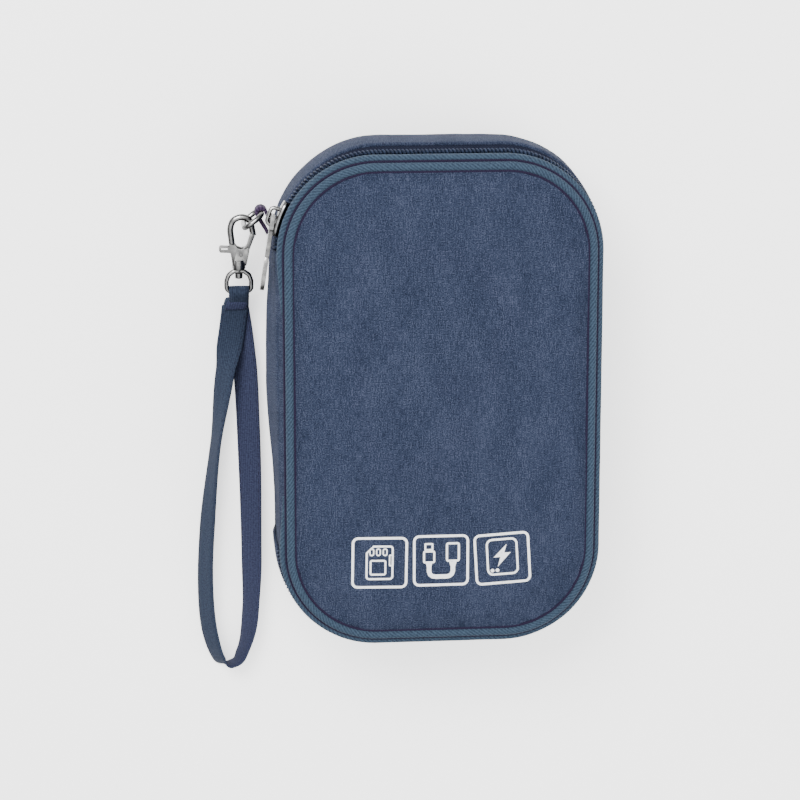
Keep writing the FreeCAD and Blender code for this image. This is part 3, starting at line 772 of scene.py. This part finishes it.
def simulate_pad(pad):
    """Blows a pad up as cloth for twenty frames and keeps the result."""
    cloth = pad.modifiers.new("cloth", "CLOTH")
    settings = cloth.settings
    settings.effector_weights.gravity = 0
    settings.use_pressure = True
    settings.uniform_pressure_force = 4
    settings.quality = 5
    settings.mass = 0.15
    settings.tension_stiffness = 25
    settings.compression_stiffness = 25
    settings.bending_stiffness = 2
    scene = bpy.context.scene
    for number in range(1, 21):
        scene.frame_set(number)
    bake_modifiers(pad)
    scene.frame_set(1)


def make_panels():
    """The padded front panel, on the lid, and the padded back panel, which the pouch lies on."""
    front = pad_shape("front_pad", PANEL[0].z + 0.2 * MM, PANEL[1].z - 0.5 * MM, 3.9 * MM, False)
    finish_piece(front, "lid", "shell_fabric", "front_panel")
    back = pad_shape("back_pad", 0.0, BACK[1].z, 3.0 * MM, True)
    finish_piece(back, "case", "shell_fabric", "back_panel")
    return front


def make_piping(name, body, height, node, inset):
    """Round cord in diagonal twill that runs all the way round a panel, roped by its twist."""
    lay = 1.35 * MM

    def section(distance):
        points = []
        for angle in full_turn(14):
            rope = 0.05 * MM * math.sin(2 * math.pi * distance / lay + angle)
            reach = PIPING_RADIUS - 0.1 * MM + rope
            across = -inset - PIPING_RADIUS + reach * math.cos(angle)
            points.append((across, height + reach * math.sin(angle)))
        return points

    cord = rim_sweep(name, section, end=RIM_LENGTH, step=0.4 * MM, closed=True)
    finish_piece(cord, body, "piping_twill", node)


def make_seams():
    """The dark seam ditches on both sides of each piping."""
    front_inner = 0.05 * MM - LID_INSET - 2 * PIPING_RADIUS
    back_inner = 0.05 * MM - 2 * PIPING_RADIUS
    for name, body, grow, z in (
            ("front_seam_inner", "lid", front_inner, FRONT_PIPING_Z + 0.5 * MM),
            ("front_seam_outer", "lid", 0.10 * MM - LID_INSET, FRONT_PIPING_Z - 1.0 * MM),
            ("back_seam_inner", "case", back_inner, BACK_PIPING_Z - 0.6 * MM),
            ("back_seam_outer", "case", -0.05 * MM, BACK_PIPING_Z + 1.45 * MM)):
        section = round_section(grow, z, 0.55 * MM, 8)
        seam = rim_sweep(name, lambda distance: section, end=RIM_LENGTH, closed=True)
        finish_piece(seam, body, "piping_twill", material="seam_thread")


WELT_TAIL = 22 * MM
WELT_TOP = 46.2


def make_welt():
    """The lid's narrow side band, in the piping's twill, just under the front piping."""

    def section(distance):
        uneven = wave((distance, 0, 0), 18 * MM, 21) * 0.12 * MM
        share = smooth_step((min(distance, ZIP_LENGTH - distance) + WELT_TAIL) / WELT_TAIL)
        outer = [(-0.7, 40.5), (0.15, 41.1), (0.65, 42.4), (0.90, 43.8), (0.85, 45.0), (0.40, 46.0),
                 (-0.50, 46.4), (-1.70, WELT_TOP)]
        inner = [(-1.70, 45.2), (-0.60, 45.4), (-0.05, 44.6), (-0.05, 43.2), (-0.40, 41.8), (-0.9, 41.2)]
        tall = 0.35 + 0.65 * share
        return [((grow - 1.3 * (1 - share)) * MM + uneven, (WELT_TOP - (WELT_TOP - z) * tall) * MM)
                for grow, z in outer + inner]

    welt = rim_sweep("lid_welt", section, -WELT_TAIL, ZIP_LENGTH + WELT_TAIL, 2.5 * MM)
    finish_piece(welt, "lid", "piping_twill", "lid_gusset")


# ---- zip

ZIP_Z = 38 * MM
PARK = math.radians(20)
PARK_HALF = math.radians(10)
PARK_START = CORNER * (PARK - PARK_HALF)
PARK_END = CORNER * (PARK + PARK_HALF)


def make_tapes():
    """The two zip tapes that the coils are sewn to; the lid's has a gap at the parked slider."""

    def case_section(distance):
        reach = 0.9 + 2.3 * top_share(distance)
        slope = [(reach - 0.6, 31.0), (reach, 31.0), (reach, 34.8), (0.9, 37.4), (0.2, 37.2),
                 (reach - 0.6, 34.2)]
        return [(grow * MM, z * MM) for grow, z in slope]

    def lid_section(distance):
        return [(grow * MM, z * MM) for grow, z in [(-0.9, 38.6), (-0.2, 38.6), (-0.2, 43.2), (-0.9, 43.2)]]

    for name, body, node, section, start, end in (
            ("case_tape_0", "case", "back_zip_tape", case_section, 0, ZIP_LENGTH),
            ("lid_tape_0", "lid", "front_zip_tape", lid_section, 0, PARK_START),
            ("lid_tape_1", "lid", "front_zip_tape", lid_section, PARK_END, ZIP_LENGTH)):
        tape = rim_sweep(name, section, start, end, 2.5 * MM)
        finish_piece(tape, body, "zip_tape", node)


def make_coil(name, body, middle, phase, start, end, *nodes):
    """One side's nylon coil: a flattened helix whose crowns mesh with the other side's."""
    pitch, wire, steps = 1.45 * MM, 0.34 * MM, 12
    reach_out, reach_up = 0.72 * MM, 1.05 * MM
    turns = int((end - start) / pitch)
    rows = []
    for i in range(turns * steps + 1):
        turn = 2 * math.pi * i / steps
        distance = start + pitch * i / steps + phase * pitch
        out = rim(distance, 1.0) - rim(distance, 0.0)
        ahead = Vector((out.y, -out.x, 0))
        across = -math.sin(turn) * reach_out
        lift = math.cos(turn) * reach_up
        stand = (0.65 + 0.3 * top_share(distance)) * MM
        center = rim(distance, stand + across, middle + lift)
        radial = (out * (-math.sin(turn)) + Vector((0, 0, 1)) * math.cos(turn)).normalized()
        rows.append([center + (radial * math.cos(a) + ahead * math.sin(a)) * wire for a in full_turn(6)])
    coil = grid_mesh(name, rows, close_columns=True)
    finish_piece(coil, body, "zip_coil", *nodes)


def make_zip():
    make_tapes()
    rise = 0.62 * MM
    margin = 0.5 * MM
    make_coil("case_coil", "case", ZIP_Z - rise, 0.0, margin, ZIP_LENGTH - margin, "back_zip_coil")
    make_coil("lid_coil_a", "lid", ZIP_Z + rise, 0.5, margin, PARK_START, "front_zip_coil")
    make_coil("lid_coil_b", "lid", ZIP_Z + rise, 0.5, PARK_END, ZIP_LENGTH - margin)


# ---- metal parts

def polished(name, body, node, width):
    """A casting or bent wire with its edges rounded, in the place of its plain CAD node."""
    mesh = frame["nodes"][node].data.copy()
    shape = bmesh.new()
    shape.from_mesh(mesh)
    bmesh.ops.remove_doubles(shape, verts=shape.verts, dist=0.004 * MM)
    bmesh.ops.dissolve_limit(shape, angle_limit=math.radians(2), verts=shape.verts, edges=shape.edges)
    shape.to_mesh(mesh)
    shape.free()
    piece = link(name, mesh)
    bevel = piece.modifiers.new("bevel", "BEVEL")
    bevel.width = width
    bevel.segments = 3
    bevel.limit_method = "ANGLE"
    bevel.angle_limit = math.radians(38)
    bake_modifiers(piece)
    piece.data.shade_smooth()
    finish_piece(piece, body, "zip_metal", node)


FRONT_FLANGE = 1.7 * MM
BACK_FLANGE = 0.3 * MM


def make_slider():
    """The zip slider: two bent plates with curled lips, a raised bridge, its crown and its puller."""
    middle = Vector((-END, SIDE, ZIP_Z))

    def bent(angle, out, up):
        turn = math.pi - angle
        return middle + Vector((math.cos(turn), math.sin(turn), 0)) * (CORNER + out) + Vector((0, 0, up))

    def shell(name, low_out, high_out, lip, flange):
        rows = []
        for i in range(25):
            u = -1 + 2 * i / 24
            angle = PARK + PARK_HALF * u
            tail = 1 - 0.16 * smooth_step((-u + 0.2) / 1.2)
            half = 3.0 * MM * tail * (1 - 0.35 * abs(u) ** 6)
            section = []
            for j in range(13):
                v = -1 + 2 * j / 12
                dome = 0.35 * MM * (1 - v * v) * (1 - u ** 4)
                section.append((high_out + lip * dome, v * half))
            for j in range(12, -1, -1):
                v = -1 + 2 * j / 12
                curl = flange * smooth_step((abs(v) - 0.74) / 0.16)
                section.append((low_out - lip * curl, v * half * 0.97))
            rows.append([bent(angle, out, up) for out, up in section])
        return grid_mesh(name, rows, close_columns=True)

    front = shell("slider_front", 2.05 * MM, 2.65 * MM, 1, FRONT_FLANGE)
    finish_piece(front, "slider", "zip_metal", "slider_body")
    back = shell("slider_back", -1.25 * MM, -2.05 * MM, -1, BACK_FLANGE)
    finish_piece(back, "slider", "zip_metal")
    bridge_rows = []
    for out in (-1.5 * MM, 1.9 * MM):
        bridge_rows.append([bent(PARK + math.radians(2.6) * math.cos(a), out, 0.34 * MM * math.sin(a))
                            for a in full_turn(12)])
    bridge = grid_mesh("slider_bridge", bridge_rows, close_columns=True)
    finish_piece(bridge, "slider", "zip_metal")
    polished("slider_crown_loop", "slider", "slider_crown", 0.1 * MM)
    polished("puller_bar", "puller", "puller", 0.55 * MM)


def make_hardware():
    """D-ring, clasp, gate, pin and swivel eye."""
    polished("d_ring_wire", "ring", "d_ring", 0.05 * MM)
    polished("clasp_hook", "clasp", "clasp_body", 0.8 * MM)
    polished("gate_rivet", "clasp", "gate_pin", 0.1 * MM)
    polished("gate_lever", "gate", "clasp_gate", 0.3 * MM)
    polished("swivel_ring", "swivel", "swivel_eye", 0.1 * MM)


def ribbon_wrap(name, center, axis, ahead, hole, sheet, width, reach, tail_gap):
    """A ribbon folded round a bar: it comes out on the ahead side as two layers that close up."""
    normal = axis.cross(ahead)
    radius = hole + sheet / 2
    closing = [(reach * t, tail_gap + (radius - tail_gap) * smooth_step(1 - t)) for t in spread(0, 1, 0.2)]
    turns = [math.radians(-90 - 15 * k) for k in range(1, 12)]
    path = [(a, -b) for a, b in reversed(closing)]
    path += [(radius * math.cos(a), radius * math.sin(a)) for a in turns]
    path += closing
    rows = []
    for i, (a, b) in enumerate(path):
        before, after = path[max(i - 1, 0)], path[min(i + 1, len(path) - 1)]
        run = Vector((after[0] - before[0], after[1] - before[1])).normalized()
        face = ahead * -run.y + normal * run.x
        point = center + ahead * a + normal * b
        row = []
        for side, thick in ((-1, -0.5), (-1, 0.5), (-0.5, 0.55), (0, 0.55), (0.5, 0.55), (1, 0.5), (1, -0.5),
                            (0.5, -0.55), (0, -0.55), (-0.5, -0.55)):
            row.append(point + axis * (side * width / 2) + face * (thick * sheet))
        rows.append(row)
    return grid_mesh(name, rows, close_columns=True)


def joint_place(name):
    """Where a joint of the frame sits."""
    joints = frame["record"]["behaviour"]["joints"]
    return Vector(next(j for j in joints if j["name"] == name)["pos_m"])


def make_ribbon_ends():
    """The tab that holds the D-ring and the strap's sewn head round the swivel's eye."""
    pivot = joint_place("ring_swing")
    tab = ribbon_wrap("tab_loop", pivot, Vector((0, 0, 1)), Vector((0.42, -0.91, 0)).normalized(), 1.15 * MM,
                      1.2 * MM, 9 * MM, 8.0 * MM, 1.1 * MM)
    finish_piece(tab, "case", "strap_fabric", "strap_tab", material="tab_fabric")

    bar = joint_place("strap_lift")
    slope = math.radians(28)
    ahead = Vector((0, -math.cos(slope), -math.sin(slope)))
    head = ribbon_wrap("strap_head", bar, Vector((1, 0, 0)), ahead, 1.05 * MM, 1.1 * MM, 7.6 * MM, 6.5 * MM,
                       0.55 * MM)
    finish_piece(head, "strap", "strap_fabric", "strap_fold")
    rows = []
    normal = Vector((1, 0, 0)).cross(ahead)
    for reach, half, thick in ((3.6, 3.9, 1.2), (3.8, 4.4, 1.5), (5.0, 4.6, 1.6), (6.6, 4.6, 1.6),
                               (7.6, 4.6, 1.5), (8.0, 4.5, 1.2)):
        middle = bar + ahead * reach * MM - Vector((0.20 * reach * MM, 0, 0))
        row = []
        for angle in full_turn(20):
            wide = math.copysign(abs(math.cos(angle)) ** 0.35, math.cos(angle)) * half
            deep = math.copysign(abs(math.sin(angle)) ** 0.5, math.sin(angle)) * thick
            row.append(middle + Vector((1, 0, 0)) * wide * MM + normal * deep * MM)
        rows.append(row)
    cuff = grid_mesh("strap_cuff", rows, close_columns=True)
    finish_piece(cuff, "strap", "strap_fabric")


# ---- icons

def flat_shape(outer, holes=()):
    """A flat film in the XY plane with holes, as a filled curve turned into a mesh."""
    curve = bpy.data.curves.new("film", "CURVE")
    curve.dimensions = "2D"
    curve.fill_mode = "BOTH"
    for loop in [outer, *holes]:
        spline = curve.splines.new("POLY")
        spline.points.add(len(loop) - 1)
        for point, (x, y) in zip(spline.points, loop):
            point.co = (x, y, 0, 1)
        spline.use_cyclic_u = True
    obj = bpy.data.objects.new("film", curve)
    mesh = bpy.data.meshes.new_from_object(obj)
    bpy.data.objects.remove(obj)
    return mesh


def rounded(cx, cy, wide, tall, radius, cut_corner=0.0):
    """A rounded rectangle; cut_corner slants its top left corner."""
    points = []
    for sx, sy, start in ((1, 1, 0), (-1, 1, 90), (-1, -1, 180), (1, -1, 270)):
        if cut_corner and (sx, sy) == (-1, 1):
            points.append((cx - wide / 2 + cut_corner, cy + tall / 2))
            points.append((cx - wide / 2, cy + tall / 2 - cut_corner))
            continue
        for k in range(7):
            angle = math.radians(start + 15 * k)
            points.append((cx + sx * (wide / 2 - radius) + radius * math.cos(angle),
                           cy + sy * (tall / 2 - radius) + radius * math.sin(angle)))
    return points


def line_ring(cx, cy, wide, tall, line, radius, cut_corner=0.0):
    """A rounded rectangle's outline, drawn with a line of a given width."""
    hole = rounded(cx, cy, wide - 2 * line, tall - 2 * line, max(radius - line, 0.15), cut_corner * 0.8)
    return flat_shape(rounded(cx, cy, wide, tall, radius, cut_corner), [hole])


def stroke(points, width):
    """A line of a given width with round joints, as one closed outline."""
    left, right = [], []
    for i, point in enumerate(points):
        before = Vector(points[max(i - 1, 0)])
        after = Vector(points[min(i + 1, len(points) - 1)])
        run = (after - before).normalized()
        side = Vector((-run.y, run.x)) * width / 2
        left.append(tuple(Vector(point) + side))
        right.append(tuple(Vector(point) - side))
    return flat_shape(left + right[::-1])


def card_symbol():
    """A memory card with a slanted corner, three outlined contacts, a side notch and a label."""
    films = [line_ring(0, 0, 10.5, 13.4, 0.75, 1.4, 2.8), line_ring(-0.6, -1.9, 6.3, 6.1, 0.7, 0.9)]
    films += [line_ring(x, 4.1, 1.9, 3.0, 0.5, 0.9) for x in (-3.0, -0.5, 2.0)]
    films.append(line_ring(4.4, 0.9, 1.8, 4.6, 0.55, 0.5))
    return films


def cable_symbol():
    """A short cable bent in a U between two plugs."""
    bend = [(-4.5, -2.6), (-4.5, -4.2), (-4.1, -5.4), (-3.2, -6.1), (-2.0, -6.3)]
    cable = stroke(bend + [(-x, y) for x, y in reversed(bend)], 1.7)
    films = [cable, line_ring(-4.6, 5.4, 3.4, 3.0, 0.7, 0.5), line_ring(-4.5, 1.5, 4.6, 5.0, 0.75, 0.8)]
    films.append(line_ring(4.5, 3.2, 5.3, 7.6, 0.8, 1.0))
    films.append(flat_shape([(-5.7, -1.0), (-3.3, -1.0), (-3.7, -2.7), (-5.3, -2.7)]))
    films.append(flat_shape([(3.1, -0.6), (5.9, -0.6), (5.3, -2.7), (3.7, -2.7)]))
    return films


def power_symbol():
    """A power bank with a bolt and two small lamps."""
    films = [line_ring(0, 0.7, 12.1, 14.4, 0.8, 2.4)]
    films.append(flat_shape([(1.9, 5.5), (-3.3, 0.6), (-0.7, 0.6), (-1.9, -3.1), (3.3, 2.2), (0.8, 2.2)]))
    films += [flat_shape(rounded(x, -4.5, 1.4, 1.4, 0.7)) for x in (-4.0, -2.1)]
    return films


PRINT_GAP = 0.07 * MM
PRINT_FILM = 0.10 * MM


def make_icons(pad):
    """Three generic icons printed on the front panel: they follow its soft surface."""
    tree = BVHTree.FromObject(pad, bpy.context.evaluated_depsgraph_get())
    row = (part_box("icon_cable")[0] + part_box("icon_cable")[1]) / 2
    pitch = 23 * MM
    symbols = [("icon_print_card", "icon_card", card_symbol, -1, (-0.7, 0.0)),
               ("icon_print_cable", "icon_cable", cable_symbol, 0, (-0.5, 0.3)),
               ("icon_print_power", "icon_power", power_symbol, 3.5, (-0.2, 0.5))]
    for place, (name, node, draw, tilt, (right, up)) in zip((-1, 0, 1), symbols):
        shape = bmesh.new()
        for film in [line_ring(0, 0, 21.2, 20.0, 0.95, 2.4)] + draw():
            shape.from_mesh(film)
        turn = Matrix.Rotation(math.radians(tilt), 4, "Z")
        spot = Vector((row.x + place * pitch + right * MM, row.y + up * MM, 0))
        place_it = Matrix.Translation(spot) @ turn @ Matrix.Scale(MM, 4)
        bmesh.ops.transform(shape, matrix=place_it, verts=shape.verts)
        bmesh.ops.triangulate(shape, faces=shape.faces)
        long_edges = [e for e in shape.edges if e.calc_length() > 2.5 * MM]
        bmesh.ops.subdivide_edges(shape, edges=long_edges, cuts=2)
        for vertex in shape.verts:
            hit = tree.ray_cast(Vector((vertex.co.x, vertex.co.y, 0.1)), Vector((0, 0, -1)))
            vertex.co.z = (hit[0].z if hit[0] else row.z) + PRINT_GAP
        raised = bmesh.ops.extrude_face_region(shape, geom=shape.faces[:])
        for item in raised["geom"]:
            if isinstance(item, bmesh.types.BMVert):
                item.co.z += PRINT_FILM
        bmesh.ops.recalc_face_normals(shape, faces=shape.faces)
        finish_piece(link_shape(name, shape), "lid", "print_white", node)


# ---- inside

def make_lining():
    """Smooth lining on the floor, the walls and the lid, bound at the seams with ribbed tape."""
    for name, body, node, z0, z1 in (("floor_lining", "case", "back_lining", 4.75, 5.5),
                                     ("lid_lining", "lid", "front_lining", 43.7, 44.5)):
        rows = []
        for share in (0.0, 0.25, 0.5, 0.7, 0.85, 0.95, 1.0):
            ring = []
            for s in spread(0, RIM_LENGTH, 3 * MM)[:-1]:
                edge = rim(s, -5.1 * MM)
                point = Vector((edge.x, edge.y, 0)) * max(share, 0.001)
                drift = wave((point.x, point.y, 0), 30 * MM, 31) * 0.18 * MM * smooth_step((1 - share) / 0.2)
                ring.append(Vector((point.x, point.y, (z0 + z1) / 2 * MM + drift)))
            rows.append(ring)
        lining = grid_mesh(name, rows, close_columns=True)
        thicken(lining, 0.5 * MM)
        flat_uv(lining.data)
        finish_piece(lining, body, "lining", node)
    inner_side = [(-2.4, 5.6), (-0.55, 16), (-0.9, 24), (-1.8, 29)]
    other_side = [(grow - 0.4, z) for grow, z in reversed(inner_side)]
    sheet = [(grow * MM, z * MM) for grow, z in inner_side + other_side]
    wall = rim_sweep("wall_lining", lambda distance: sheet, end=RIM_LENGTH, step=4 * MM, closed=True)
    finish_piece(wall, "case", "lining")
    for name, body, z in (("floor_binding", "case", 6.0 * MM), ("lid_binding", "lid", 43.2 * MM)):
        section = round_section(-3.6 * MM, z, 1.0 * MM, 10, 0.62)
        tape = rim_sweep(name, lambda distance: section, end=RIM_LENGTH, closed=True)
        finish_piece(tape, body, "elastic")


def make_elastic(name, node):
    """A ribbed elastic strip sewn down between its cable loops."""
    low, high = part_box(node)
    pitch, loops = 18 * MM, 5
    left = -loops * pitch / 2
    rise = high.z - low.z - 1.0 * MM
    line = [(left - 2.5 * MM, low.z + 0.5 * MM), (left - 0.6 * MM, low.z + 0.5 * MM)]
    for number in range(loops):
        middle = left + (number + 0.5) * pitch
        for step in range(19):
            turn = math.pi * step / 18
            line.append((middle - 7.0 * MM * math.copysign(abs(math.cos(turn)) ** 0.85, math.cos(turn)),
                         low.z + 0.5 * MM + rise * math.sin(turn) ** 0.8))
        line.append((middle + pitch / 2, low.z + 0.5 * MM))
    line.append((-left + 2.5 * MM, low.z + 0.5 * MM))
    rows = []
    for x, z in line:
        row = []
        for k in range(13):
            y = low.y + (high.y - low.y) * k / 12
            dip = 0.35 * MM * abs(2 * k / 12 - 1) ** 3
            row.append(Vector((x, y, z - dip * (z > low.z + 2 * MM))))
        rows.append(row)
    strip = grid_mesh(name, rows)
    thicken(strip, 0.9 * MM)
    finish_piece(strip, "case", "elastic", node)
    bars = bmesh.new()
    for i in range(loops + 1):
        x = left + i * pitch
        for y in spread(low.y + 1.5 * MM, high.y - 1.5 * MM, 1.5 * MM):
            turned = Matrix.Translation((x, y, low.z + 1.05 * MM)) @ Matrix.Rotation(0.7, 4, "Z")
            bmesh.ops.create_cone(bars, cap_ends=True, segments=6, radius1=0.22 * MM, radius2=0.12 * MM,
                                  depth=1.5 * MM, matrix=turned @ Matrix.Rotation(math.pi / 2, 4, "X"))
    finish_piece(link_shape(name + "_tacks", bars), "case", "elastic", material="seam_thread")


def pocket_sheet(name, body, node, slot, columns):
    """A pocket's front as one soft uneven sheet; columns are the (x, z) of its section."""
    low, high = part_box(node)
    rows = []
    for y in spread(low.y, high.y, 3 * MM):
        rows.append([Vector((x, y, z + wave((x, y, 0), 20 * MM, 41) * 0.2 * MM)) for x, z in columns])
    cloth = grid_mesh(name, rows)
    thicken(cloth, 0.55 * MM)
    finish_piece(cloth, body, slot, node)


def make_pockets():
    """Power bank pocket in the back; net pocket and flat card pocket in the lid."""
    for name, node, slot, drop in (("net_pocket", "mesh_pocket", "mesh", 2.6),
                                   ("flat_pocket", "card_pocket", "lining", 1.7)):
        low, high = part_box(node)
        columns = []
        for k in range(25):
            t = -1 + 2 * k / 24
            edge = smooth_step((1 - abs(t)) / 0.14)
            columns.append((t * high.x * 0.99, high.z - 0.25 * MM - drop * MM * edge))
        pocket_sheet(name, "lid", node, slot, columns)
    low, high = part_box("mesh_binding")
    middle = (low + high) / 2
    ring = [(middle.y + 2 * MM * math.cos(a), middle.z + 0.5 * MM * math.sin(a)) for a in full_turn(12)]
    rows = [[Vector((x, y, z)) for y, z in ring] for x in spread(low.x, high.x, 3 * MM)]
    binding = grid_mesh("net_binding", rows, close_columns=True)
    finish_piece(binding, "lid", "elastic", "mesh_binding")

    low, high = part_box("bank_pocket")
    half = high.x
    radius = 4 * MM
    columns = [(-half, low.z + 0.3 * MM + (high.z - low.z - radius) * k / 5) for k in range(6)]
    columns += [(-half + radius * (1 - math.cos(a)), high.z - radius + radius * math.sin(a) - 0.3 * MM)
                for a in [math.radians(22.5 * k) for k in range(1, 5)]]
    columns += [(-half + radius + (2 * half - 2 * radius) * k / 12, high.z - 0.3 * MM) for k in range(1, 12)]
    columns += [(-x, z) for x, z in reversed(columns[:10])]
    columns = [(x * 0.993, z) for x, z in columns]
    pocket_sheet("bank_pocket_cloth", "case", "bank_pocket", "lining", columns)
    hem_rows = []
    for x, z in columns:
        hem_rows.append([Vector((x, high.y - 1.0 * MM + 2.0 * MM * math.cos(a), z + 0.75 * MM * math.sin(a)))
                         for a in full_turn(10)])
    hem = grid_mesh("bank_pocket_hem", hem_rows, close_columns=True)
    finish_piece(hem, "case", "elastic")


# ---- scene

make_camera()
make_strap()
make_studio()
make_gusset()
make_spine()
front_pad = make_panels()
make_piping("front_piping_cord", "lid", FRONT_PIPING_Z, "front_piping", LID_INSET)
make_piping("back_piping_cord", "case", BACK_PIPING_Z, "back_piping", 0.0)
make_seams()
make_welt()
make_zip()
make_slider()
make_hardware()
make_ribbon_ends()
make_icons(front_pad)
make_lining()
make_elastic("cable_loops_upper", "elastic_band_upper")
make_elastic("cable_loops_lower", "elastic_band_lower")
make_pockets()
